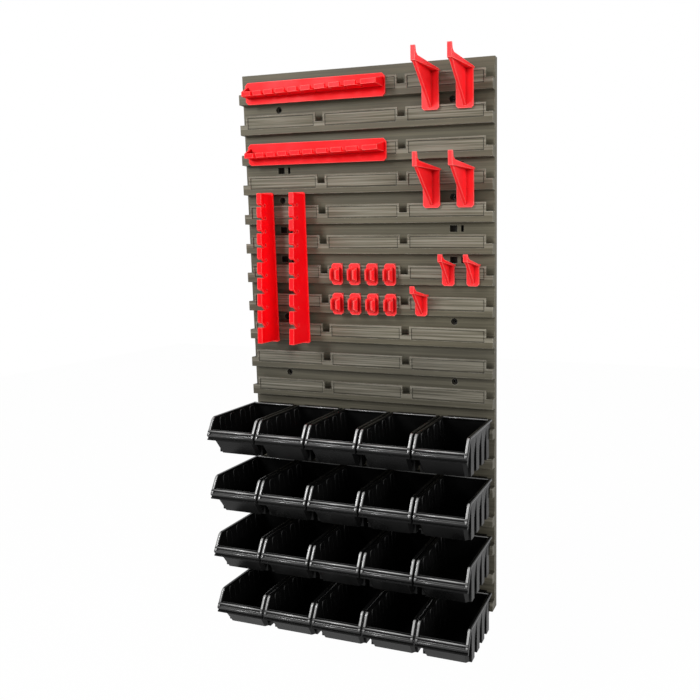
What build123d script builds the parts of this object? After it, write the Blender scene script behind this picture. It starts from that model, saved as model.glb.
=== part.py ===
import os

from build123d import *

os.makedirs("parts", exist_ok=True)

# A tool wall of two louvre panels that carry open bins, tool rails, hooks and spring clips.
# Sizes are in millimetres. X runs to the right along the wall, Y into the wall and Z up.
# Y = 0 is the wall, and the origin is the middle of the upper panel's four corner screw holes.

# Panels
panel_width = 390.0
panel_height = 390.0
row_count = 9
panel_depth = 20.0
plate_depth = 10.0
skin = 2.2
band_height = 14.5

# Lips that stand up from each band, in line along the row
lip_count = 3
lip_length = 115.0
lip_gap = 12.5
lip_height = 12.5
lip_thickness = 2.6
frame_depth = 1.1
frame_foot = 8.0
frame_margin = 2.6

# Screw holes and boxed sockets in the recessed strips
screw_spacing = 270.0
screw_rows = (2, 5, 9)
screw_radius = 2.6
screw_head_radius = 5.0
screw_head_depth = 3.0
recess_sides = 8
boss_width = 14.0
socket_rows = (4, 6, 7)
socket_width = 11.0
socket_height = 9.0
socket_slot = 4.0
socket_step = 13.0
socket_wall = 1.8

# Hook section that every hung piece has at its back
clearance = 0.3
hook_roof = 2.5
hook_leg = 2.2
hook_drop = 10.0

# Bins
bin_rows = (3, 5, 7, 9)
bin_columns = 5
bin_gap = 3.0
bin_length = 111.0
bin_height = 54.0
bin_floor_width = 64.0
bin_wall = 1.8
bin_lip_height = 31.0
bin_mouth_setback = 12.5
bin_mouth_round = 9.0
bin_mouth_steps = 2
bin_foot_setback = 19.5
bin_rim_width = 4.0
bin_rim_thickness = 2.6
bin_rim_overhang = 1.6
bin_lip_depth = 4.0
bin_lip_drop = 7.5
bin_lip_groove = 1.5
bin_lip_groove_height = 3.5
bin_corner_chamfer = 4.0
bin_flute_count = 4
bin_flute_fade = 0.5
bin_flute_width = 12.0
bin_flute_pitch = 23.0
bin_flute_start = 13.0
bin_hook_width = 58.0

# Tool rails, whose combs deepen from one end to the other
rail_length = 222.0
rail_plate = 2.6
rail_chamfer = 4.0
rail_foot = -1.0
rail_inset = 14.0
rail_rows = (1, 3)
rail_hook_width = 40.0
rail_hook_inset = 45.0
rail_depth_small = 16.0
rail_depth_large = 26.0
rail_shelf_small = 8.0
rail_shelf_large = 11.5
rail_lip_height = 6.5
comb_inset = 2.4
comb_wall = 2.6
notch_count = 9
notch_first = 22.0
notch_pitch = 18.5
notch_growth = 0.95
notch_small = 5.0
notch_large = 9.0
tool_hole_radius = 2.2
tool_hole_gap = 4.5
tool_hole_sides = 4
upright_count = 2
upright_inset = 50.0
upright_pitch = 53.0
upright_width = 19.0
upright_depth_small = 28.0
upright_depth_large = 42.0
upright_lip_height = 7.5
upright_top_row = 4
upright_rise = 2.5
upright_lug_rows = (5, 8)
upright_lug_width = 14.0

# Large and small hooks
hook_plate = 2.6
hook_chamfer = 3.0
hook_arm = 3.0
hook_rib = 4.4
hook_tip_width = 6.0
hook_tip_thickness = 4.0
hook_crook = 3.0
large_hook_width = 24.5
large_hook_foot = -23.5
large_hook_reach = 61.0
large_hook_rise = 4.0
large_hook_tip = 10.5
large_hook_nose = 8.0
large_hook_rows = (1, 4)
large_hook_inset = 38.5
large_hook_pitch = 49.0
small_hook_width = 18.0
small_hook_foot = -0.5
small_hook_reach = 35.0
small_hook_rise = 7.5
small_hook_tip = 6.0
small_hook_nose = 4.0
small_hook_rows = (7, 8)
small_hook_inset = 28.0
small_hook_pitch = 36.0
small_hook_step = 77.0

# Spring clips
clip_rows = (7, 8)
clip_count = 4
clip_pitch = 28.0
clip_offset = 1.0
clip_width = 17.0
clip_foot = -1.5
clip_plate = 2.6
clip_chamfer = 3.0
clip_bore = 5.0
clip_arm = 2.4
clip_arm_foot = 1.0
clip_arm_height = 25.0
clip_arm_slope = 7.0
clip_sides = 8
clip_mouth = 7.0
clip_web = 4.5

# Places that follow from the sizes above
row_pitch = panel_height / row_count
lip_top = band_height + lip_height
screw_rise = (lip_top + row_pitch) / 2
upper_top = row_pitch * (screw_rows[0] + screw_rows[-1]) / 2 - screw_rise
lower_top = upper_top - panel_height
hang_face = -(panel_depth + clearance)
seat = lip_top + clearance
hook_top = seat + hook_roof
hang_plane = Plane.XZ.offset(-hang_face)


def row_foot(top, row):
    return top - row_pitch * row


def spread(count, pitch):
    return [pitch * (index - (count - 1) / 2) for index in range(count)]


def write(piece, label):
    piece.label = label
    export_step(piece, f"parts/{label}.step")


# Panel: a shell with folded bands, standing lips, screw bosses and boxed sockets
panel_foot = upper_top - panel_height
row_feet = [row_foot(upper_top, row) for row in range(1, row_count + 1)]
lip_pitch = lip_length + lip_gap
lip_middles = spread(lip_count, lip_pitch)
screw_places = [
    (side * screw_spacing / 2, row_foot(upper_top, row) + screw_rise)
    for row in screw_rows
    for side in (-1, 1)
]
socket_places = [
    (side * screw_spacing / 2, row_foot(upper_top, row) + screw_rise)
    for row in socket_rows
    for side in (-1, 1)
]

with BuildPart() as panel:
    with BuildSketch(Plane.YZ.offset(-panel_width / 2)):
        with Locations((0, panel_foot)):
            Rectangle(plate_depth, panel_height, align=(Align.MAX, Align.MIN))
        with Locations([(0, foot) for foot in row_feet]):
            Rectangle(panel_depth, band_height, align=(Align.MAX, Align.MIN))
    extrude(amount=panel_width)
    with BuildSketch(Plane.YZ.offset(skin - panel_width / 2)):
        with Locations((0, panel_foot + skin)):
            Rectangle(plate_depth - skin, panel_height - 2 * skin, align=(Align.MAX, Align.MIN))
        with Locations([(0, foot + skin) for foot in row_feet]):
            Rectangle(panel_depth - skin, band_height - 2 * skin, align=(Align.MAX, Align.MIN))
    extrude(amount=panel_width - 2 * skin, mode=Mode.SUBTRACT)
    for middle in lip_middles:
        with BuildSketch(Plane.YZ.offset(middle - lip_length / 2)):
            with Locations([(-panel_depth, foot + band_height) for foot in row_feet]):
                Rectangle(lip_thickness, lip_height, align=(Align.MIN, Align.MIN))
        extrude(amount=lip_length)
    with BuildSketch(Plane.XZ.offset(panel_depth)):
        with Locations(
            [(middle, foot + frame_foot) for middle in lip_middles for foot in row_feet]
        ):
            Rectangle(
                lip_length - 2 * frame_margin,
                lip_top - frame_margin - frame_foot,
                align=(Align.CENTER, Align.MIN),
            )
    extrude(amount=-frame_depth, mode=Mode.SUBTRACT)
    with BuildSketch(Plane.XZ):
        with Locations(screw_places):
            Rectangle(boss_width, boss_width)
        with Locations([(x - socket_width / 2 - socket_wall, z) for x, z in socket_places]):
            Rectangle(
                socket_step + (socket_width + socket_slot) / 2 + 2 * socket_wall,
                socket_height + 2 * socket_wall,
                align=(Align.MIN, Align.CENTER),
            )
    extrude(amount=plate_depth)
    with Locations(
        [Plane((x, -plate_depth, z), z_dir=(0, -1, 0)) for x, z in screw_places]
    ):
        Hole(screw_radius, depth=plate_depth)
    with BuildSketch(Plane.XZ.offset(plate_depth)):
        with Locations(screw_places):
            RegularPolygon(screw_head_radius, recess_sides)
    extrude(amount=-screw_head_depth, mode=Mode.SUBTRACT)
    with BuildSketch(Plane.XZ.offset(plate_depth)):
        with Locations(socket_places):
            Rectangle(socket_width, socket_height)
        with Locations([(x + socket_step, z) for x, z in socket_places]):
            Rectangle(socket_slot, socket_height)
    extrude(amount=-(plate_depth - socket_wall), mode=Mode.SUBTRACT)

write(panel.part, "panel_upper")
write(panel.part.moved(Location((0, 0, -panel_height))), "panel_lower")

# Hook section, drawn at the height that it has over its row's foot
with BuildSketch(Plane.YZ) as hook_section:
    leg_front = -(panel_depth - lip_thickness) + clearance
    leg_back = leg_front + hook_leg
    with BuildLine():
        Polyline(
            (hang_face, seat),
            (leg_front, seat),
            (leg_front, seat - hook_drop),
            (leg_back, seat - hook_drop),
            (leg_back, hook_top),
            (hang_face, hook_top),
            close=True,
        )
    make_face()

# Bin: a tapered tub with fluted sides, a cut-down mouth and a rim all round it
bin_pitch = panel_width / bin_columns
bin_width = bin_pitch - bin_gap
bin_foot = hook_top - bin_height
bin_front = hang_face - bin_length
bin_body_width = bin_width - 2 * bin_rim_overhang
bin_mouth = (bin_front + bin_mouth_setback, hook_top)
bin_lip_point = (bin_front, bin_foot + bin_lip_height)
flute_places = [
    hang_face - bin_flute_start - index * bin_flute_pitch for index in range(bin_flute_count)
]


# Top edge of a bin's side from the back to the front lip, eased round the mouth in a few steps
def mouth_edge():
    corner = Vector(*bin_mouth)
    back = Vector(hang_face, hook_top)
    lip = Vector(*bin_lip_point)
    start = corner + (back - corner).normalized() * bin_mouth_round
    end = corner + (lip - corner).normalized() * bin_mouth_round
    shares = [step / bin_mouth_steps for step in range(bin_mouth_steps + 1)]
    curve = [
        start * (1 - share) ** 2 + corner * 2 * share * (1 - share) + end * share**2
        for share in shares
    ]
    return [back, *curve, lip]


# Side outline of the tub, which stops inside the rim, or of the space inside it, which passes it
def tub_side(inset, rise):
    with BuildSketch(Plane.YZ) as side:
        with BuildLine():
            Polyline(
                (hang_face - inset, bin_foot + inset),
                (hang_face - inset, hook_top + rise),
                (bin_mouth[0], bin_mouth[1] + rise),
                (bin_lip_point[0] + bin_lip_depth / 2 + inset, bin_lip_point[1] + rise),
                (bin_front + bin_foot_setback + inset, bin_foot + inset),
                close=True,
            )
        make_face()
    return side.sketch


# Cross section of the tub or of the space inside it, wider at the top
def tub_section(inset):
    with BuildSketch(hang_plane) as section:
        with BuildLine():
            half_floor = bin_floor_width / 2 - inset
            half_top = bin_body_width / 2 - inset
            Polyline(
                (-half_floor, bin_foot + inset),
                (half_floor, bin_foot + inset),
                (half_top, hook_top + inset),
                (-half_top, hook_top + inset),
                close=True,
            )
        make_face()
    return section.sketch


def tub(inset, rise):
    with BuildPart() as solid:
        extrude(tub_section(inset), amount=bin_length)
        extrude(tub_side(inset, rise), amount=bin_width, both=True, mode=Mode.INTERSECT)
        front = solid.faces().filter_by(lambda face: face.normal_at().Z < 0).sort_by(Axis.Y)[0]
        chamfer(front.edges().filter_by(Axis.X, reverse=True), bin_corner_chamfer)
    return solid.part


with BuildPart() as storage_bin:
    add(tub(0, -bin_rim_thickness / 2))
    with BuildSketch(Plane.XY.offset(bin_foot)):
        with Locations([(0, place) for place in flute_places]):
            Rectangle(bin_body_width - 2 * bin_flute_fade, bin_flute_width)
    extrude(amount=bin_height - bin_rim_thickness)
    for side in (-1, 1):
        with BuildSketch(Plane.YZ.offset(side * bin_width / 2)):
            with BuildLine():
                Polyline(mouth_edge())
                offset(amount=bin_rim_thickness, side=Side.LEFT)
            make_face()
        extrude(amount=-side * bin_rim_width)
    with BuildSketch(Plane.YZ.offset(-bin_width / 2)):
        with Locations((hang_face, hook_top)):
            Rectangle(bin_rim_width, bin_rim_thickness, align=(Align.MAX, Align.MAX))
        with Locations(bin_lip_point):
            Rectangle(bin_lip_depth, bin_lip_drop, align=(Align.MIN, Align.MAX))
        with Locations((bin_lip_point[0], bin_lip_point[1] - bin_lip_drop / 2)):
            Rectangle(2 * bin_lip_groove, bin_lip_groove_height, mode=Mode.SUBTRACT)
    extrude(amount=bin_width)
    add(tub(bin_wall, bin_wall), mode=Mode.SUBTRACT)
    extrude(hook_section.sketch, amount=bin_hook_width / 2, both=True)

for row_index, row in enumerate(bin_rows):
    for column_index, x in enumerate(spread(bin_columns, bin_pitch)):
        place = Location((x, 0, row_foot(lower_top, row)))
        label = f"bin_row{row_index + 1}_column{column_index + 1}"
        write(storage_bin.part.moved(place), label)


# Combs of the tool rails, drawn level with the shallow end on the left
rail_half = rail_length / 2
comb_half = rail_half - comb_inset
notch_sizes = [
    notch_small + (notch_large - notch_small) * index / (notch_count - 1)
    for index in range(notch_count)
]
notch_places = [
    notch_first - rail_half + notch_pitch * index + notch_growth * index * (index - 1) / 2
    for index in range(notch_count)
]
rail_depths = (rail_depth_small, rail_depth_large)
upright_depths = (upright_depth_small, upright_depth_large)


# Place of a comb's front edge
def comb_front(depths, x):
    small, large = depths
    return hang_face - small - (large - small) * (x + rail_half) / rail_length


# Plan of a comb's front lip, or of its whole shelf with a hole behind each notch
def comb_plan(depths, whole):
    left, right = [comb_front(depths, x) for x in (-comb_half, comb_half)]
    backs = (hang_face, hang_face) if whole else (left + comb_wall, right + comb_wall)
    with BuildSketch() as plan:
        with BuildLine():
            Polyline(
                (-comb_half, left),
                (comb_half, right),
                (comb_half, backs[1]),
                (-comb_half, backs[0]),
                close=True,
            )
        make_face()
        for x, size in zip(notch_places, notch_sizes):
            front = comb_front(depths, x)
            with BuildLine():
                Polyline(
                    (x, front + size),
                    (x - 2 * size, front - size),
                    (x, front - size),
                    close=True,
                )
            make_face(mode=Mode.SUBTRACT)
            if whole:
                with Locations((x - size / 2, front + size + tool_hole_gap)):
                    RegularPolygon(tool_hole_radius, tool_hole_sides, mode=Mode.SUBTRACT)
    return plan.sketch


# Part of a comb that lies between two heights, which may climb from the left end to the right
def comb_layer(plan, left_foot, right_foot, height):
    with BuildPart() as layer:
        extrude(plan, amount=hook_top)
        with BuildSketch(hang_plane):
            with BuildLine():
                Polyline(
                    (-comb_half, left_foot),
                    (comb_half, right_foot),
                    (comb_half, right_foot + height),
                    (-comb_half, left_foot + height),
                    close=True,
                )
            make_face()
        extrude(amount=upright_depth_large, mode=Mode.INTERSECT)
    return layer.part


# Level rail: a back plate, a climbing shelf with a notched lip and a wall at each end
with BuildPart() as level_rail:
    with BuildSketch(hang_plane) as rail_face:
        with Locations((0, rail_foot)):
            Rectangle(rail_length, hook_top - rail_foot, align=(Align.CENTER, Align.MIN))
        chamfer(rail_face.vertices(), rail_chamfer)
    extrude(amount=rail_plate)
    add(comb_layer(comb_plan(rail_depths, True), rail_shelf_small, rail_shelf_large, comb_wall))
    add(
        comb_layer(
            comb_plan(rail_depths, False), rail_shelf_small, rail_shelf_large, rail_lip_height
        )
    )
    for side, foot in ((-1, rail_shelf_small), (1, rail_shelf_large)):
        with BuildSketch(Plane.YZ.offset(side * comb_half)):
            with BuildLine():
                Polyline(
                    (hang_face, foot),
                    (hang_face, hook_top - rail_chamfer),
                    (comb_front(rail_depths, side * comb_half), foot + rail_lip_height),
                    (comb_front(rail_depths, side * comb_half), foot),
                    close=True,
                )
            make_face()
        extrude(amount=-side * comb_wall)
    for side in (-1, 1):
        hook_place = Location((side * (rail_half - rail_hook_inset), 0, 0))
        extrude(hook_section.sketch.moved(hook_place), amount=rail_hook_width / 2, both=True)

for index, row in enumerate(rail_rows):
    place = Location((rail_inset + rail_half - panel_width / 2, 0, row_foot(upper_top, row)))
    write(level_rail.part.moved(place), f"rail_level_{index + 1}")

# Upright rail: a deep comb along the right edge of a narrow plate, which hangs by two lugs
upright_middle = row_foot(upper_top, upright_top_row) + upright_rise - rail_half
with BuildPart() as upright_comb:
    with BuildSketch(hang_plane) as upright_face:
        Rectangle(rail_length, upright_width, align=(Align.CENTER, Align.MIN))
        chamfer(upright_face.vertices().group_by(Axis.Y)[0], rail_chamfer)
    extrude(amount=rail_plate)
    shelf_foot = upright_width - comb_wall
    add(comb_layer(comb_plan(upright_depths, True), shelf_foot, shelf_foot, comb_wall))
    lip_foot = upright_width - upright_lip_height
    add(comb_layer(comb_plan(upright_depths, False), lip_foot, lip_foot, upright_lip_height))

with BuildPart() as upright_rail:
    add(upright_comb.part.moved(Location((-upright_width, 0, upright_middle), (0, 90, 0))))
    for row in upright_lug_rows:
        lug_place = Location((-upright_width / 2, 0, row_foot(upper_top, row)))
        extrude(hook_section.sketch.moved(lug_place), amount=upright_lug_width / 2, both=True)

for index in range(upright_count):
    place = Location((upright_inset + upright_pitch * index - panel_width / 2, 0, 0))
    write(upright_rail.part.moved(place), f"rail_upright_{index + 1}")


# Hook: a rounded plate with a tapered arm, a turned-up tip and a rib below the arm
def make_hook(width, foot, reach, rise, tip, nose):
    front = hang_face - reach
    crook = hook_top + rise
    with BuildSketch(Plane.XY.offset(foot)) as plan:
        with BuildLine():
            Polyline(
                (-width / 2, hang_face),
                (width / 2, hang_face),
                (width / 2, hang_face - hook_plate),
                (hook_tip_width / 2, front),
                (-hook_tip_width / 2, front),
                (-width / 2, hang_face - hook_plate),
                close=True,
            )
        make_face()
    with BuildPart() as hook:
        with BuildSketch(Plane.YZ) as side:
            with BuildLine():
                Polyline(
                    (hang_face, hook_top - hook_arm),
                    (hang_face, hook_top),
                    (hang_face - hook_plate, hook_top),
                    (front + hook_tip_thickness, crook),
                    (front + hook_tip_thickness / 2, crook + tip),
                    (front, crook + tip),
                    (front, crook - nose),
                    close=True,
                )
            make_face()
            bend = (front + hook_tip_thickness, crook)
            chamfer(side.vertices().sort_by_distance(bend)[0], hook_crook)
        extrude(amount=width / 2, both=True)
        extrude(plan.sketch, amount=crook + tip - foot, mode=Mode.INTERSECT)
        with BuildSketch(hang_plane) as face:
            with Locations((0, foot)):
                Rectangle(width, hook_top - foot, align=(Align.CENTER, Align.MIN))
            chamfer(face.vertices().group_by(Axis.Y)[0], hook_chamfer)
        extrude(amount=hook_plate)
        nose_climb = (hook_top - hook_arm - crook + nose) * hook_tip_thickness / reach
        with BuildSketch(Plane.YZ):
            with BuildLine():
                Polyline(
                    (hang_face, foot + hook_chamfer),
                    (hang_face, hook_top - hook_arm / 2),
                    (front + hook_tip_thickness, crook - nose / 2),
                    (front + hook_tip_thickness, crook - nose + nose_climb),
                    (hang_face - hook_plate, foot + hook_chamfer),
                    close=True,
                )
            make_face()
        extrude(amount=hook_rib / 2, both=True)
        extrude(hook_section.sketch, amount=width / 2 - clearance, both=True)
    return hook.part


large_hook = make_hook(
    large_hook_width,
    large_hook_foot,
    large_hook_reach,
    large_hook_rise,
    large_hook_tip,
    large_hook_nose,
)
large_hook_last = panel_width / 2 - large_hook_inset
large_hook_places = [
    (row, x) for row in large_hook_rows for x in (large_hook_last - large_hook_pitch, large_hook_last)
]
for index, (row, x) in enumerate(large_hook_places):
    place = Location((x, 0, row_foot(upper_top, row)))
    write(large_hook.moved(place), f"hook_large_{index + 1}")

small_hook = make_hook(
    small_hook_width,
    small_hook_foot,
    small_hook_reach,
    small_hook_rise,
    small_hook_tip,
    small_hook_nose,
)
small_hook_last = panel_width / 2 - small_hook_inset
small_hook_places = [
    (small_hook_rows[0], small_hook_last - small_hook_pitch),
    (small_hook_rows[0], small_hook_last),
    (small_hook_rows[1], small_hook_last - small_hook_step),
]
for index, (row, x) in enumerate(small_hook_places):
    place = Location((x, 0, row_foot(upper_top, row)))
    write(small_hook.moved(place), f"hook_small_{index + 1}")

# Spring clip: a rounded plate with two arms that grip an upright handle
clip_axis = hang_face - clip_plate - clip_bore - clip_arm
clip_front = clip_axis - clip_bore - clip_arm
clip_arm_top = clip_arm_foot + clip_arm_height
with BuildPart() as clip:
    with BuildSketch(Plane.XY.offset(clip_arm_foot)):
        with Locations((0, clip_axis)):
            RegularPolygon(clip_bore + clip_arm, clip_sides)
        with Locations((0, hang_face)):
            Rectangle(2 * clip_web, clip_plate + clip_arm, align=(Align.CENTER, Align.MAX))
        with Locations((0, clip_axis)):
            RegularPolygon(clip_bore, clip_sides, mode=Mode.SUBTRACT)
            Rectangle(
                clip_mouth,
                2 * clip_bore + clip_arm,
                align=(Align.CENTER, Align.MAX),
                mode=Mode.SUBTRACT,
            )
    extrude(amount=clip_arm_height)
    with BuildSketch(Plane.YZ):
        with BuildLine():
            Polyline(
                (hang_face, clip_arm_foot),
                (hang_face, clip_arm_top),
                (clip_front, clip_arm_top - clip_arm_slope),
                (clip_front, clip_arm_foot + clip_arm_slope),
                close=True,
            )
        make_face()
    extrude(amount=clip_width / 2, both=True, mode=Mode.INTERSECT)
    with BuildSketch(hang_plane) as clip_face:
        with Locations((0, clip_foot)):
            Rectangle(clip_width, hook_top - clip_foot, align=(Align.CENTER, Align.MIN))
        chamfer(clip_face.vertices(), clip_chamfer)
    extrude(amount=clip_plate)
    extrude(hook_section.sketch, amount=clip_width / 2 - clip_chamfer, both=True)

for row_index, row in enumerate(clip_rows):
    for column_index, x in enumerate(spread(clip_count, clip_pitch)):
        place = Location((clip_offset + x, 0, row_foot(upper_top, row)))
        write(clip.part.moved(place), f"clip_row{row_index + 1}_column{column_index + 1}")
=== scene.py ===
import math

import bmesh
import bpy
from mathutils import Matrix, Vector


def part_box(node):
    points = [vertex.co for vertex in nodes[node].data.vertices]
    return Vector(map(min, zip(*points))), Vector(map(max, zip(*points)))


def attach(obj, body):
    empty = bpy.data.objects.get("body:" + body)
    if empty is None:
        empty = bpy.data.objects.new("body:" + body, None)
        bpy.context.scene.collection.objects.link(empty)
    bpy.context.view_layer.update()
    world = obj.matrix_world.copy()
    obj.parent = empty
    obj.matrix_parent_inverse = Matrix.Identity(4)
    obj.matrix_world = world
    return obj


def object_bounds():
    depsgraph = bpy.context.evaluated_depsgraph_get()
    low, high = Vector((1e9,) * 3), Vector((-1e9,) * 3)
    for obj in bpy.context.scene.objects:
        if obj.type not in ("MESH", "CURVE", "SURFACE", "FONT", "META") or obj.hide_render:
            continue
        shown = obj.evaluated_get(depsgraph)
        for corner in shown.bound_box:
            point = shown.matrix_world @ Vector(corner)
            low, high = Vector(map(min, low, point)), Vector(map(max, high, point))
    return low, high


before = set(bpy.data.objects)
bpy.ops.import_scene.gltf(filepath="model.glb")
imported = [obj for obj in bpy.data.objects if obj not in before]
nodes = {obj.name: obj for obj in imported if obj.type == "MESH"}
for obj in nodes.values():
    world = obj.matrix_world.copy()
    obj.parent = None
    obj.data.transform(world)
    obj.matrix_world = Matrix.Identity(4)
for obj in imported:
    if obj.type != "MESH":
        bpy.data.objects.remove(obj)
cadLow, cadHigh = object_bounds()


# A shader socket that can be used in sums, and makes the other nodes
class Wire:
    def __init__(self, tree, socket=None):
        self.tree = tree
        self.socket = socket

    def node(self, kind, settings=None, sockets=None, out=0):
        made = self.tree.nodes.new("ShaderNode" + kind)
        for name, value in (settings or {}).items():
            setattr(made, name, value)
        for name, value in (sockets or {}).items():
            if isinstance(value, Wire):
                self.tree.links.new(value.socket, made.inputs[name])
            else:
                made.inputs[name].default_value = value
        return Wire(self.tree, made.outputs[out])

    def maths(self, operation, first, second):
        return self.node("Math", {"operation": operation}, {0: first, 1: second})

    def __add__(self, other):
        return self.maths("ADD", self, other)

    def __sub__(self, other):
        return self.maths("SUBTRACT", self, other)

    def __rsub__(self, other):
        return self.maths("SUBTRACT", other, self)

    def __mul__(self, other):
        return self.maths("MULTIPLY", self, other)

    __radd__ = __add__
    __rmul__ = __mul__

    def atLeast(self, other):
        return self.maths("MAXIMUM", self, other)

    def ramp(self, low, high):                       # 0 below low, 1 above high, eased between
        return self.node("MapRange", {"interpolation_type": "SMOOTHSTEP"},
                         {"Value": self, "From Min": low, "From Max": high})

    def blend(self, first, second):                  # colours, by this wire
        return self.node("Mix", {"data_type": "RGBA"}, {0: self, 6: first, 7: second}, 2)

    def vector(self, operation, first, second, out=0):
        return self.node("VectorMath", {"operation": operation}, {0: first, 1: second}, out)


def newObject(name, data):
    made = bpy.data.objects.new(name, data)
    bpy.context.scene.collection.objects.link(made)
    return made


def newFinish(name):
    material = bpy.data.materials.new(name)
    material.use_nodes = True
    tree = material.node_tree
    return material, Wire(tree), tree.nodes["Principled BSDF"]


def feed(shader, **inputs):
    for name, value in inputs.items():
        target = shader.inputs[name.replace("_", " ")]
        if isinstance(value, Wire):
            value.tree.links.new(value.socket, target)
        else:
            target.default_value = value


def colour(rgb):
    return (*rgb, 1.0)


def between(ends, share):                            # a number from the first end to the second
    first, second = ends
    return first + (second - first) * share


def noise(wire, place, scale, detail=2.0):
    return wire.node("TexNoise", {}, {"Vector": place, "Scale": scale, "Detail": detail})


def bump(wire, height, distance, strength, under=None):
    sockets = {"Height": height, "Distance": distance, "Strength": strength}
    if under is not None:
        sockets["Normal"] = under
    return wire.node("Bump", {}, sockets)


# The panels' rows and the bins' places on them, as in the part's source
rows = {
    "pitch": 0.39 / 9,
    "upperTop": 0.203167,
    "count": 9,
    "lipMiddles": (-0.1275, 0.0, 0.1275),
    "binRows": (12, 14, 16, 18),
    "binColumns": 5,
    "binPitch": 0.078,
}
allFeet = [rows["upperTop"] - rows["pitch"] * row for row in range(1, 2 * rows["count"] + 1)]

# How the finishes find edges and open faces, and how soft their cloudy shades are
masks = {
    "edgeSamples": 6,
    "edgeTurn": (0.002, 0.09),
    "edgeOpen": (0.6, 0.95),
    "openSamples": 8,
    "cloudDetail": 3.0,
    "cloudRange": (0.3, 0.7),
    "cloudRough": 0.6,
}


# 1 on open faces and outside corners, less in the piece's own inside corners
def openMask(wire, look):
    settings = {"samples": masks["openSamples"], "only_local": True}
    return wire.node("AmbientOcclusion", settings, {"Distance": look["cavity"]}, "AO")


# How far a rounded outside corner turns away from the face beside it: 0 on flats, more on edges
def edgeMask(wire, look, bare):
    rounded = wire.node("Bevel", {"samples": masks["edgeSamples"]}, {"Radius": look["edge"]})
    flat = wire.node("NewGeometry", out="Normal")
    turned = 1 - wire.vector("DOT_PRODUCT", rounded, flat, "Value")
    return turned.ramp(*masks["edgeTurn"]) * look["edgeShare"] * bare.ramp(*masks["edgeOpen"])


def cloudMask(wire, place, look):
    return noise(wire, place, look["cloudScale"], masks["cloudDetail"]).ramp(*masks["cloudRange"])


# Louvre panels: satin moulded plastic, drawn out along the rows. Painted light and wear make the
# lips paler, painted highlights lie in glints along the edges, and painted shade darkens inside
# corners, grooves and sockets
panelLook = {
    "base": (0.075, 0.067, 0.046),
    "light": (0.129, 0.116, 0.081),
    "lip": (0.217, 0.201, 0.158),
    "worn": (0.42, 0.40, 0.345),
    "shade": (0.033, 0.029, 0.021),
    # deep: painted shade in the lips' grooves, the sockets and the screw holes
    "deep": (0.016, 0.014, 0.011),
    "cavity": 0.006,
    "shadeRange": (0.35, 0.8),
    "lipFace": (-0.0184, -0.0190),
    "lipHeights": (0.0082, 0.0272),
    "lipSoft": (0.0006, 0.0004),
    "lipShare": (0.1, 1.0),
    "grooveDepths": (-0.0190, -0.0186),
    "grooveSoft": (0.0001, 0.0002),
    "grooveFacing": (-0.7, -0.95),
    "grooveShare": 0.8,
    "socketDepths": (-0.0094, -0.0080),
    "socketFacing": (0.4, 0.6),
    "socketShare": 0.9,
    "insideEdge": 0.193,
    "insideHeights": (-0.575, 0.2015),
    "insideSoft": 0.001,
    "edge": 0.0009,
    "edgeShare": 0.6,
    "glintStretch": (60.0, 150.0, 150.0),
    "glintRange": (0.42, 0.60),
    "glintShare": (0.35, 1.5),
    "cloudScale": 7.0,
    "lineStretch": (6.0, 60.0, 420.0),
    "lineRange": (0.35, 0.68),
    "lineShare": 0.6,
    "fineDetail": 3.0,
    "grainScale": 1500.0,
    "grainHeight": 0.00006,
    "grainStrength": 0.6,
    "roughness": (0.42, 0.60),
    "gloss": 0.15,
}

# The lower panel is painted a shade darker all over: painted shade
shadedLowerPanelLook = dict(panelLook, base=(0.062, 0.057, 0.042), light=(0.108, 0.099, 0.073))
shadedLowerPanelLook.update(lip=(0.176, 0.164, 0.133), worn=(0.40, 0.38, 0.33))


def panelPlastic(name, look):
    material, wire, shader = newFinish(name)
    place = wire.node("TexCoord", out="Object")
    across, depth, height = [wire.node("SeparateXYZ", {}, {0: place}, axis) for axis in "XYZ"]
    facing = wire.node("SeparateXYZ", {}, {0: wire.node("NewGeometry", out="Normal")}, "Y")
    cloud = cloudMask(wire, place, look)
    drawn = wire.vector("MULTIPLY", place, look["lineStretch"])
    lines = noise(wire, drawn, 1.0, look["fineDetail"]).ramp(*look["lineRange"])
    grain = noise(wire, place, look["grainScale"], look["fineDetail"])
    # Painted highlights along the edges, broken into glints by stretched noise
    spots = wire.vector("MULTIPLY", place, look["glintStretch"])
    glints = noise(wire, spots, 1.0).ramp(*look["glintRange"])
    bare = openMask(wire, look)
    edges = edgeMask(wire, look, bare) * between(look["glintShare"], glints)

    overFoot = wire.maths("FLOORED_MODULO", height - rows["upperTop"], rows["pitch"])
    (low, high), (under, over) = look["lipHeights"], look["lipSoft"]
    onLip = overFoot.ramp(low, low + under) * (1 - overFoot.ramp(high, high + over))
    # Paler, streaked lip faces: painted light on the proud lips, and wear
    rubbed = onLip * depth.ramp(*look["lipFace"]) * between(look["lipShare"], lines)
    # Painted shade in the lips' grooves and in the sockets
    (low, high), (under, over) = look["grooveDepths"], look["grooveSoft"]
    groove = depth.ramp(low - under, low) * (1 - depth.ramp(high, high + over))
    groove = groove * facing.ramp(*look["grooveFacing"]) * onLip
    (low, high), edge, soft = look["insideHeights"], look["insideEdge"], look["insideSoft"]
    inside = 1 - wire.maths("ABSOLUTE", across, 0).ramp(edge, edge + soft)
    inside = inside * height.ramp(low, low + soft) * (1 - height.ramp(high - soft, high))
    socket = depth.ramp(*look["socketDepths"]) * inside * (1 - facing.ramp(*look["socketFacing"]))
    recessShade = (groove * look["grooveShare"]).atLeast(socket * look["socketShare"])

    streaks = cloud * (1 - look["lineShare"]) + lines * look["lineShare"]
    tone = streaks.blend(colour(look["base"]), colour(look["light"]))
    tone = bare.ramp(*look["shadeRange"]).blend(colour(look["shade"]), tone)
    tone = edges.blend(rubbed.blend(tone, colour(look["lip"])), colour(look["worn"]))
    feed(
        shader,
        Base_Color=recessShade.blend(tone, colour(look["deep"])),
        Roughness=between(look["roughness"], 0.5 * lines + 0.5 * grain),
        Normal=bump(wire, grain, look["grainHeight"], look["grainStrength"]),
        Specular_IOR_Level=look["gloss"],
    )
    return material


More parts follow.
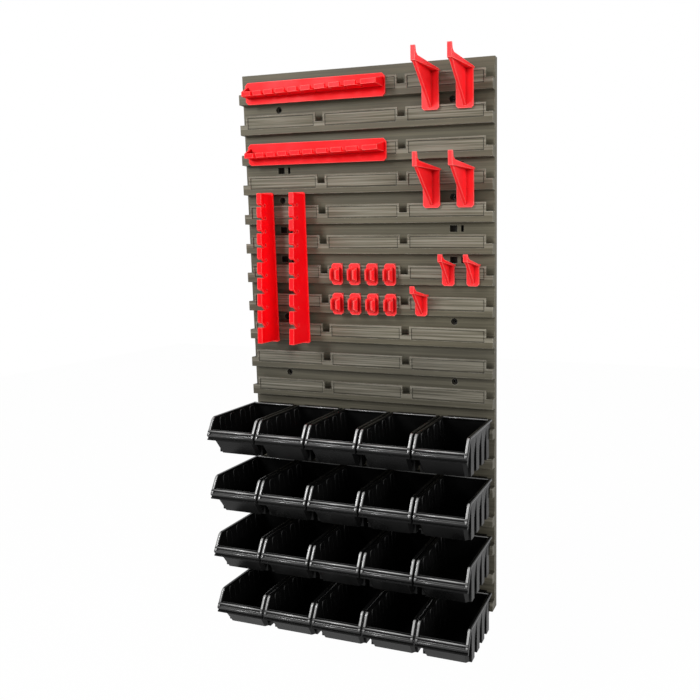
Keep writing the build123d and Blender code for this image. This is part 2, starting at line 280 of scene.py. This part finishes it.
# Smooth plastic with faint flow marks, the ground of the bins' and holders' finishes
def smoothPlastic(name, look):
    material, wire, shader = newFinish(name)
    place = wire.node("TexCoord", out="Object")
    cloud = cloudMask(wire, place, look)
    wave = noise(wire, place, look["waveScale"], 1.0)
    grain = noise(wire, place, look["grainScale"])
    waved = bump(wire, wave, look["waveHeight"], look["waveStrength"])
    share = masks["cloudRough"]
    feed(
        shader,
        Roughness=between(look["roughness"], share * cloud + (1 - share) * grain),
        Normal=bump(wire, grain, look["grainHeight"], look["grainStrength"], waved),
        Specular_IOR_Level=look["gloss"],
    )
    return material, wire, shader, cloud


# Bins: glossy black plastic with painted highlights on the edges
binLook = {
    "base": (0.0025, 0.0025, 0.0025),
    "light": (0.005, 0.005, 0.005),
    "worn": (0.022, 0.022, 0.022),
    "cavity": 0.006,
    "edge": 0.0009,
    "edgeShare": 0.6,
    "cloudScale": 22.0,
    "waveScale": 160.0,
    "waveHeight": 0.00012,
    "waveStrength": 0.35,
    "grainScale": 1900.0,
    "grainHeight": 0.00003,
    "grainStrength": 0.5,
    "roughness": (0.22, 0.36),
    "gloss": 0.09,
    "rubbed": (0.0025, 0.0025, 0.0025),
    "sheenFacing": (0.0, -0.72, 0.694),
    "rubRange": (0.90, 0.975),
    "sheenCloud": (0.55, 1.0),
    "sheenHeights": (0.0080, 0.0092),
    "sheenShare": (0.25, 1.0),
}

# Rims and lips are smooth and glossy, with a painted highlight on the mouth slopes and lip crests;
# the flute arches are painted paler, with painted glints on their tops
binRimLook = dict(binLook, gloss=0.34, roughness=(0.14, 0.22), rubbed=(0.34, 0.34, 0.335))
binRimLook.update(waveHeight=0.00006, grainHeight=0.00001)
binFluteLook = dict(binLook, base=(0.005, 0.005, 0.005), light=(0.013, 0.013, 0.013), gloss=0.5)
binFluteLook.update(rubbed=(0.17, 0.17, 0.165), rubRange=(0.55, 0.95))
binFluteLook["sheenFacing"] = (0.0, -0.25, 0.968)


def binPlastic(name, look):
    material, wire, shader, cloud = smoothPlastic(name, look)
    normal = wire.node("NewGeometry", out="Normal")
    facing = wire.vector("DOT_PRODUCT", normal, look["sheenFacing"], "Value")
    height = wire.node("SeparateXYZ", {}, {0: wire.node("TexCoord", out="Object")}, "Z")
    raised = height.ramp(*look["sheenHeights"])        # the lower bead of a lip gets less painted highlight
    # Painted highlight on faces turned towards the given facing, broken up by the cloud
    rubbed = facing.ramp(*look["rubRange"]) * between(look["sheenCloud"], cloud)
    rubbed = rubbed * between(look["sheenShare"], raised)
    tone = cloud.blend(colour(look["base"]), colour(look["light"]))
    tone = rubbed.blend(tone, colour(look["rubbed"]))
    # Painted highlights on the edges
    edges = edgeMask(wire, look, openMask(wire, look))
    feed(shader, Base_Color=edges.blend(tone, colour(look["worn"])))
    return material


# Rails, hooks and clips: red plastic that lets some light through, with painted pale highlights
# on the edges and painted shade in its inside corners
holderLook = {
    "base": (0.97, 0.004, 0.010),
    "deep": (0.90, 0.002, 0.006),
    "shade": (0.42, 0.001, 0.003),
    "edgeLight": (1.0, 0.20, 0.18),
    "cavity": 0.009,
    "shadeRange": (0.3, 0.85),
    "edge": 0.0018,
    "edgeShare": 0.8,
    "cloudScale": 26.0,
    "waveScale": 120.0,
    "waveHeight": 0.0001,
    "waveStrength": 0.3,
    "grainScale": 1700.0,
    "grainHeight": 0.00004,
    "grainStrength": 0.5,
    "roughness": (0.30, 0.46),
    "gloss": 0.10,
    "glow": 0.35,
    "glowReach": (1.0, 0.10, 0.08),
    "glowScale": 0.002,
}

# Level rails get deeper painted shade between their teeth; the uprights are a lit copy, painted
# brighter with less painted shade; hooks and clips are glossier, with a pinker base painted as sheen
railLook = dict(holderLook, shade=(0.30, 0.001, 0.002), cavity=0.013, edgeShare=0.5)
litUprightLook = dict(railLook, base=(1.0, 0.004, 0.010), deep=(0.97, 0.002, 0.006))
litUprightLook.update(shade=(0.62, 0.001, 0.003), cavity=0.006)
hookLook = dict(holderLook, base=(0.97, 0.020, 0.026), deep=(0.91, 0.013, 0.018), gloss=0.32)


def holderPlastic(name, look):
    material, wire, shader, cloud = smoothPlastic(name, look)
    bare = openMask(wire, look)
    tone = cloud.blend(colour(look["base"]), colour(look["deep"]))
    tone = bare.ramp(*look["shadeRange"]).blend(colour(look["shade"]), tone)
    feed(
        shader,
        # Painted pale highlights along the edges
        Base_Color=edgeMask(wire, look, bare).blend(tone, colour(look["edgeLight"])),
        Subsurface_Weight=look["glow"],
        Subsurface_Radius=look["glowReach"],
        Subsurface_Scale=look["glowScale"],
    )
    return material


# Moulded edges: every piece keeps its shape, and its corners are eased.
# For each family: width, segments, and whether flat faces are joined first
edgeEase = {
    "panel": (0.0004, 2, False),
    "bin": (0.0004, 2, True),
    "rail": (0.0006, 2, True),
    "hook": (0.0007, 3, True),
    "clip": (0.0006, 2, True),
    "sharp": math.radians(25),
    "flat": math.radians(0.6),
    "join": 0.00002,
}


def easeEdges(piece, width, segments, dissolve):
    weld = piece.modifiers.new("join", "WELD")
    weld.merge_threshold = edgeEase["join"]
    if dissolve:
        flats = piece.modifiers.new("flats", "DECIMATE")
        flats.decimate_type = "DISSOLVE"
        flats.angle_limit = edgeEase["flat"]
    ease = piece.modifiers.new("ease", "BEVEL")
    ease.width = width
    ease.segments = segments
    ease.limit_method = "ANGLE"
    ease.angle_limit = edgeEase["sharp"]
    ease.use_clamp_overlap = True
    ease.harden_normals = True
    ease.miter_outer = "MITER_ARC"


finishes = {
    "panel_upper": panelPlastic("panelPlastic", panelLook),
    "panel_lower": panelPlastic("shadedLowerPanelPlastic", shadedLowerPanelLook),
    "bin": binPlastic("binPlastic", binLook),
    "binRim": binPlastic("binRimPlastic", binRimLook),
    "binFlute": binPlastic("binFlutePlastic", binFluteLook),
    "rail": holderPlastic("railPlastic", railLook),
    "hook": holderPlastic("hookPlastic", hookLook),
    "rail_upright_1": holderPlastic("litUprightPlastic", litUprightLook),
}
finishes["rail_upright_2"] = finishes["rail_upright_1"]
finishes["clip"] = finishes["hook"]

for name, piece in nodes.items():
    family = name.split("_")[0]
    for holder in piece.material_slots:
        holder.material = finishes.get(name) or finishes[family]
    easeEdges(piece, *edgeEase[family])
print("finishes:", len(set(finishes.values())))


def addPiece(name, mesh, finish, body):
    piece = newObject(name, mesh)
    mesh.materials.append(finish)
    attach(piece, body)
    return piece


def joinRings(made, first, second, closed=True):
    for i in range(len(first) if closed else len(first) - 1):
        after = (i + 1) % len(first)
        made.faces.new((first[i], first[after], second[after], second[i]))


# Quads are shaded smooth, and the many-sided end caps flat
def toMesh(made, name, smooth=True):
    bmesh.ops.recalc_face_normals(made, faces=made.faces)
    mesh = bpy.data.meshes.new(name)
    made.to_mesh(mesh)
    made.free()
    for face in mesh.polygons:
        face.use_smooth = smooth and len(face.vertices) <= 4
    return mesh


# Beaded strips in the recessed frames of the lips; the outline is (height over a row's foot, depth)
lipStrip = {
    "halfLength": 0.0541,
    "endEase": 0.0008,
    "back": -0.0188,
    "outline": (
        (0.0093, -0.0190), (0.0095, -0.0196), (0.0101, -0.0199), (0.0109, -0.0199),
        (0.0116, -0.0195), (0.0122, -0.01925), (0.0150, -0.01925), (0.0156, -0.0195),
        (0.0163, -0.0199), (0.0171, -0.0199), (0.0178, -0.0195), (0.0184, -0.01925),
        (0.0218, -0.01925), (0.0226, -0.0194), (0.0233, -0.0193), (0.0237, -0.0190),
    ),
}


def stripMesh(name, feet, look):
    made = bmesh.new()
    for foot in feet:
        for middle in rows["lipMiddles"]:
            rings = []
            for side in (-1, 1):
                end = middle + side * look["halfLength"]
                inner = end - side * look["endEase"]
                far = [(end, look["back"], foot + height) for height, depth in look["outline"]]
                near = [(inner, depth, foot + height) for height, depth in look["outline"]]
                rings += [[made.verts.new(spot) for spot in ring] for ring in (far, near)]
            for first, second in ((0, 1), (1, 3), (3, 2)):
                joinRings(made, rings[first], rings[second], closed=False)
    return toMesh(made, name)


# Thin dark webs at the wall end of the screw holes, darkened by the panel's painted socket shade:
# painted shade standing for the shaded wall behind; the outline is (radius, depth)
holeShade = {
    "across": 0.135,
    "rise": 0.035167,
    "rows": (2, 5, 9),
    "sides": 24,
    "outline": (
        (0.00252, -0.0001), (0.00252, -0.0007), (0.0017, -0.0009), (0.0007, -0.0007),
        (0.0004, -0.0004),
    ),
}


def holeShadeMesh(name, feet, look):
    made = bmesh.new()
    turns = [math.tau * i / look["sides"] for i in range(look["sides"])]
    for row in look["rows"]:
        for side in (-1, 1):
            centre = Vector((side * look["across"], 0, feet[row - 1] + look["rise"]))
            rings = []
            for radius, depth in look["outline"]:
                spots = [(math.cos(turn) * radius, depth, math.sin(turn) * radius) for turn in turns]
                rings.append([made.verts.new(centre + Vector(spot)) for spot in spots])
            for first, second in zip(rings, rings[1:]):
                joinRings(made, first, second)
            made.faces.new(rings[-1])
            made.faces.new(rings[0])
    return toMesh(made, name, smooth=False)


for panel, feet in (("upper", allFeet[:rows["count"]]), ("lower", allFeet[rows["count"]:])):
    strips = stripMesh("lip_strips_" + panel, feet, lipStrip)
    addPiece("lip_strips_" + panel, strips, finishes["panel_" + panel], "wall")
    webs = holeShadeMesh("screw_hole_shade_" + panel, feet, holeShade)
    addPiece("screw_hole_shade_" + panel, webs, finishes["panel_" + panel], "wall")
print("panel details: lip strips and screw webs")


# Rounded beads over a bin's rim and lip, and arches round the tops of its flutes;
# places are (y, z) in the bin, and bead ends are (share of the half width, size)
binTrim = {
    "rimMiddle": 0.0355,
    "rim": (0.0025, 0.0018, 0.00140),
    "back": (-0.0206, 0.0298),
    "mouth": (-0.1188, 0.0298),
    "lipPoint": (-0.1313, 0.0068),
    "mouthRound": 0.005,
    "mouthSteps": 8,
    "sunk": 0.0013,
    "halfWidth": 0.0375,
    "beadEnds": (
        (-1.008, 0.55), (-1.0, 0.85), (-0.985, 1.0), (0.985, 1.0), (1.0, 0.85), (1.008, 0.55),
    ),
    "backBead": (-0.0229, 0.0285, 0.0022),
    "lipMiddle": (-0.1285, 0.0085),
    "lipRoll": (
        (-0.1253, 0.0085), (-0.1252, 0.0112), (-0.1256, 0.0122), (-0.1265, 0.0130),
        (-0.1278, 0.0132), (-0.1289, 0.0128), (-0.1297, 0.0121), (-0.1301, 0.0112),
        (-0.1300, 0.0104), (-0.1294, 0.0099), (-0.1292, 0.0090), (-0.1293, 0.0080),
        (-0.1300, 0.0074), (-0.1311, 0.0072), (-0.1318, 0.0066), (-0.1321, 0.0057),
        (-0.1319, 0.0047), (-0.1312, 0.0041), (-0.1295, 0.0040),
    ),
    "archPlaces": (-0.0333, -0.0563, -0.0793, -0.1023),
    "archHalf": 0.0055,
    "archFoot": 0.004,
    "archTop": 0.0215,
    "archRadius": 0.0008,
    "archRound": 2,
    "archEnd": 0.3,
    "archSteps": 4,
    "wallFoot": (0.0302, -0.0224),
    "wallLean": 0.0722,
    "join": 0.000001,
}
sideways = Vector((1, 0, 0))
inward = Vector((0, 1, 0))


def roundedOutline(halfWide, halfTall, corner, steps=4):
    outline = []
    for quarter, (x, z) in enumerate(((1, 1), (-1, 1), (-1, -1), (1, -1))):
        for step in range(steps + 1):
            turn = math.pi / 2 * (quarter + step / steps)
            outline.append((
                (halfWide - corner) * x + corner * math.cos(turn),
                (halfTall - corner) * z + corner * math.sin(turn),
            ))
    return outline


def headings(points):
    last = len(points) - 1
    return [
        (points[min(i + 1, last)] - points[max(i - 1, 0)]).normalized() for i in range(len(points))
    ]


# Sweeps an outline along points; across is the direction of its first axis, and sizes scale it
def sweep(made, points, across, outline, sizes=None):
    rings = []
    for point, ahead, size in zip(points, headings(points), sizes or [1.0] * len(points)):
        up = ahead.cross(across).normalized()
        spots = [point + size * (wide * across + tall * up) for wide, tall in outline]
        rings.append([made.verts.new(spot) for spot in spots])
    for first, second in zip(rings, rings[1:]):
        joinRings(made, first, second)
    for ring in (rings[0], rings[-1]):
        for edge in made.faces.new(ring).edges:
            edge.smooth = False


def curved(first, corner, last, steps):
    return [
        first * (1 - share) ** 2 + corner * 2 * share * (1 - share) + last * share ** 2
        for share in [step / steps for step in range(steps + 1)]
    ]


def rimPath(side, look):
    back, mouth, lip = [Vector((0, *look[spot])) for spot in ("back", "mouth", "lipPoint")]
    start = mouth + (back - mouth).normalized() * look["mouthRound"]
    stop = mouth + (lip - mouth).normalized() * look["mouthRound"]
    edge = [back, *curved(start, mouth, stop, look["mouthSteps"]), lip]
    outward = sideways * side * look["rimMiddle"]
    return [
        point + look["sunk"] * Vector((0, -ahead.z, ahead.y)) + outward
        for point, ahead in zip(edge, headings(edge))
    ]


def archPath(side, place, look):
    half, foot, top = look["archHalf"], look["archFoot"], look["archTop"]
    steps, crown = look["archSteps"], top + half
    corners = ((-half, top), (-half, crown), (0, crown), (half, crown), (half, top))
    corners = [Vector((0, place + y, z)) for y, z in corners]
    path = [*curved(*corners[:3], steps), *curved(*corners[2:], steps)[1:]]
    path = [Vector((0, place - half, foot)), *path, Vector((0, place + half, foot))]
    across, floor = look["wallFoot"]
    for point in path:                               # on the leaning inner wall
        point.x = side * (across + look["wallLean"] * (point.z - floor))
    return path


def binTrimMesh(look):
    made = bmesh.new()
    for side in (-1, 1):
        sweep(made, rimPath(side, look), sideways, roundedOutline(*look["rim"]))

    shares = [share * look["halfWidth"] for share, size in look["beadEnds"]]
    sizes = [size for share, size in look["beadEnds"]]
    y, z, wide = look["backBead"]
    bead = roundedOutline(wide, *look["rim"][1:])
    sweep(made, [Vector((x, y, z)) for x in shares], inward, bead, sizes)
    middleY, middleZ = look["lipMiddle"]
    roll = [(y - middleY, z - middleZ) for y, z in look["lipRoll"]]
    sweep(made, [Vector((x, middleY, middleZ)) for x in shares], inward, roll, sizes)

    beads = len(made.faces)
    radius = look["archRadius"]
    ring = roundedOutline(radius, radius, radius, look["archRound"])
    for side in (-1, 1):
        for place in look["archPlaces"]:
            path = archPath(side, place, look)
            sizes = [look["archEnd"], *[1.0] * (len(path) - 2), look["archEnd"]]
            sweep(made, path, sideways, ring, sizes)
    for face in list(made.faces)[beads:]:
        face.material_index = 1                      # the flutes' finish
    bmesh.ops.remove_doubles(made, verts=made.verts, dist=look["join"])
    return toMesh(made, "bin_trim")


trimMesh = binTrimMesh(binTrim)
for finish in ("binRim", "binFlute"):
    trimMesh.materials.append(finishes[finish])
middleColumn = (rows["binColumns"] + 1) / 2
for line, row in enumerate(rows["binRows"], 1):
    for column in range(1, rows["binColumns"] + 1):
        body = f"bin_row{line}_column{column}"
        piece = newObject(body.replace("bin", "bin_trim"), trimMesh)
        piece.location = ((column - middleColumn) * rows["binPitch"], 0, allFeet[row - 1])
        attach(piece, body)
print("bin trim: beads and flute arches on", len(rows["binRows"]) * rows["binColumns"], "bins")


# A bead along the foot of each upright rail's comb; ends are (inset, size)
uprightBead = {
    "names": ("rail_upright_1", "rail_upright_2"),
    "outline": (0.0011, 0.0010, 0.0008),
    "overlap": 0.0002,
    "depth": -0.0213,
    "ends": ((0.0010, 0.4), (0.0014, 0.8), (0.0022, 1.0)),
}


def beadMesh(name, low, high, look):
    made = bmesh.new()
    across = high.x + look["outline"][0] - look["overlap"]
    heights = [low.z + inset for inset, size in look["ends"]]
    heights += [high.z - inset for inset, size in reversed(look["ends"])]
    sizes = [size for inset, size in look["ends"]]
    points = [Vector((across, look["depth"], height)) for height in heights]
    sweep(made, points, sideways, roundedOutline(*look["outline"]), sizes + sizes[::-1])
    return toMesh(made, name)


for rail in uprightBead["names"]:
    name = rail.replace("rail", "bead")
    bead = beadMesh(name, *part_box(rail), uprightBead)
    addPiece(name, bead, finishes["rail"], rail)
print("rail details: foot beads")


# Camera, fitted to the panel's corners, rows and screw holes in the photo
photoCamera = {
    "eye": (0.4504, -0.8999, -0.0481),
    "yaw": -0.2857,
    "pitch": -0.1389,
    "focalPixels": 669.1,
    "centrePixel": (490.75, 341.33),
    "imagePixels": 700,
    "sensor": 36.0,
}


def makeCamera(spot):
    camera = newObject("camera", bpy.data.cameras.new("camera"))
    yaw, pitch = spot["yaw"], spot["pitch"]
    level = math.cos(pitch)
    ahead = Vector((math.sin(yaw) * level, math.cos(yaw) * level, math.sin(pitch)))
    right = Vector((math.cos(yaw), -math.sin(yaw), 0))
    turn = Matrix((right, right.cross(ahead), -ahead)).transposed()
    camera.matrix_world = Matrix.Translation(spot["eye"]) @ turn.to_4x4()
    size = spot["imagePixels"]
    camera.data.sensor_width = spot["sensor"]
    camera.data.lens = spot["sensor"] * spot["focalPixels"] / size
    camera.data.shift_x = (size / 2 - spot["centrePixel"][0]) / size
    camera.data.shift_y = (spot["centrePixel"][1] - size / 2) / size
    bpy.context.scene.camera = camera


makeCamera(photoCamera)
print("camera: at the photo's angle")


# Studio: a key lamp high on the left, a broad fill on the right, a white surround and a pale floor
studio = {
    "key": {"spot": (-1.12, -1.68, 0.86), "size": (0.4, 1.0), "watts": 34.0, "mirrored": True},
    "fill": {"spot": (2.4, -1.55, 0.5), "size": (1.8, 1.8), "watts": 56.0, "mirrored": False},
    "surround": 0.28,
    "floorDrop": 0.12,
    "floorSize": 6.0,
    "floorTone": ((0.86, 0.86, 0.85), (0.90, 0.90, 0.89)),
    "floorScale": 3.0,
    "floorRoughness": 0.8,
    "floorWhite": 0.985,
}
target = (cadLow + cadHigh) / 2
white = colour((1.0, 1.0, 1.0))


def makeLamp(name, lamp):
    light = bpy.data.lights.new(name, "AREA")
    light.shape = "RECTANGLE"
    light.size, light.size_y = lamp["size"]
    light.energy = lamp["watts"]
    holder = newObject(name, light)
    holder.location = lamp["spot"]
    holder.visible_glossy = lamp["mirrored"]         # only the key shows as highlights
    holder.rotation_euler = (target - Vector(lamp["spot"])).to_track_quat("-Z", "Y").to_euler()


def seenRay(wire):                                   # camera, glossy and clear rays
    ray = wire.node("LightPath", out="Is Camera Ray")
    for kind in ("Is Glossy Ray", "Is Transmission Ray"):
        ray = ray.atLeast(wire.node("LightPath", out=kind))
    return ray


def makeSurround(strength):
    world = bpy.data.worlds.new("surround")
    world.use_nodes = True
    bpy.context.scene.world = world
    background = world.node_tree.nodes["Background"]
    level = between((strength, 1.0), seenRay(Wire(world.node_tree)))   # white where it is seen
    feed(background, Color=white, Strength=level)


def makeFloor(look):
    half = look["floorSize"] / 2
    height = cadLow.z - look["floorDrop"]
    mesh = bpy.data.meshes.new("floor")
    corners = [(x * half, y * half, height) for x, y in ((-1, -1), (1, -1), (1, 1), (-1, 1))]
    mesh.from_pydata(corners, [], [(0, 1, 2, 3)])
    floor = newObject("floor", mesh)
    material, wire, shader = newFinish("floorPaint")
    first, second = look["floorTone"]
    cloud = noise(wire, wire.node("TexCoord", out="Object"), look["floorScale"])
    tone = cloud.blend(colour(first), colour(second))
    feed(shader, Base_Color=tone, Roughness=look["floorRoughness"])
    bright = wire.node("Emission", {}, {"Color": white, "Strength": 1.0})
    share = seenRay(wire) * look["floorWhite"]
    painted = Wire(material.node_tree, shader.outputs[0])
    mixed = wire.node("MixShader", {}, {0: share, 1: painted, 2: bright})
    feed(material.node_tree.nodes["Material Output"], Surface=mixed)
    mesh.materials.append(material)


for name in ("key", "fill"):
    makeLamp(name, studio[name])
makeSurround(studio["surround"])
makeFloor(studio)
bpy.context.scene.view_settings.view_transform = "Standard"
print("studio: lamps, surround and floor")
